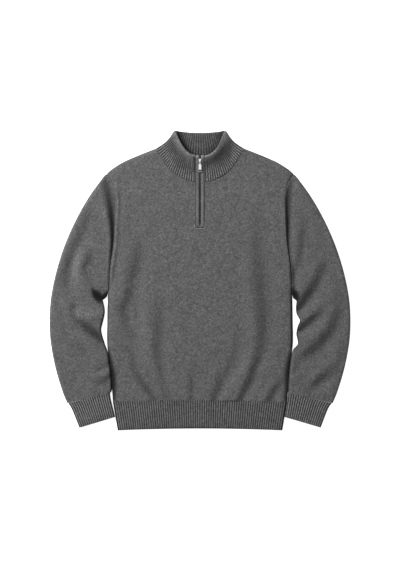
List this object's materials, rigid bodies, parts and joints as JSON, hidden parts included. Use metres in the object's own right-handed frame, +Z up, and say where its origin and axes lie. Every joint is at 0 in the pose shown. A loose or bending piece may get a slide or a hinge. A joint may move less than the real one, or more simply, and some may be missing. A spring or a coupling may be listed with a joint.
{
  "type": "quarter-zip knit pullover, laid flat",
  "caption": "Plain-knit pullover laid flat, with set-in sleeves, rib cuffs and hem, a doubled rib stand collar and a short front zip with a hinged pull tab.",
  "frame": {"origin": "on the surface that the garment lies on, under the middle of its outline", "axes": "+Z up from the surface, out of the garment's front; +Y from the hem to the neck; +X towards the wearer's left sleeve"},
  "size_m": [0.7518, 0.7491, 0.0246],
  "materials": {
    "plain_knit": "charcoal melange plain knit, matt with a faint nap",
    "rib_knit": "charcoal melange rib knit",
    "knit_trim": "charcoal melange knit strip",
    "zip_tape": "woven dark tape",
    "zip_teeth": "dark metal teeth",
    "polished_metal": "polished silver metal"
  },
  "bodies": {
    "garment": {"front_panel": "plain_knit", "back_panel": "plain_knit", "sleeve_left": "plain_knit", "sleeve_right": "plain_knit", "hem_front": "rib_knit", "hem_back": "rib_knit", "cuff_left": "rib_knit", "cuff_right": "rib_knit", "collar": "rib_knit", "zip_trim_left": "knit_trim", "zip_trim_right": "knit_trim", "zip_trim_end": "knit_trim", "zip_tape_left": "zip_tape", "zip_tape_right": "zip_tape", "zip_chain": "zip_teeth", "zip_slider": "polished_metal"},
    "pull_tab": {"zip_pull": "polished_metal"}
  },
  "joints": [
    {"name": "pull_tab_hinge", "type": "hinge", "parent": "garment", "child": "pull_tab", "pos_m": [0, 0.298, 0.02192], "axis": [-1, 0, 0], "range_deg": [0, 160]}
  ]
}
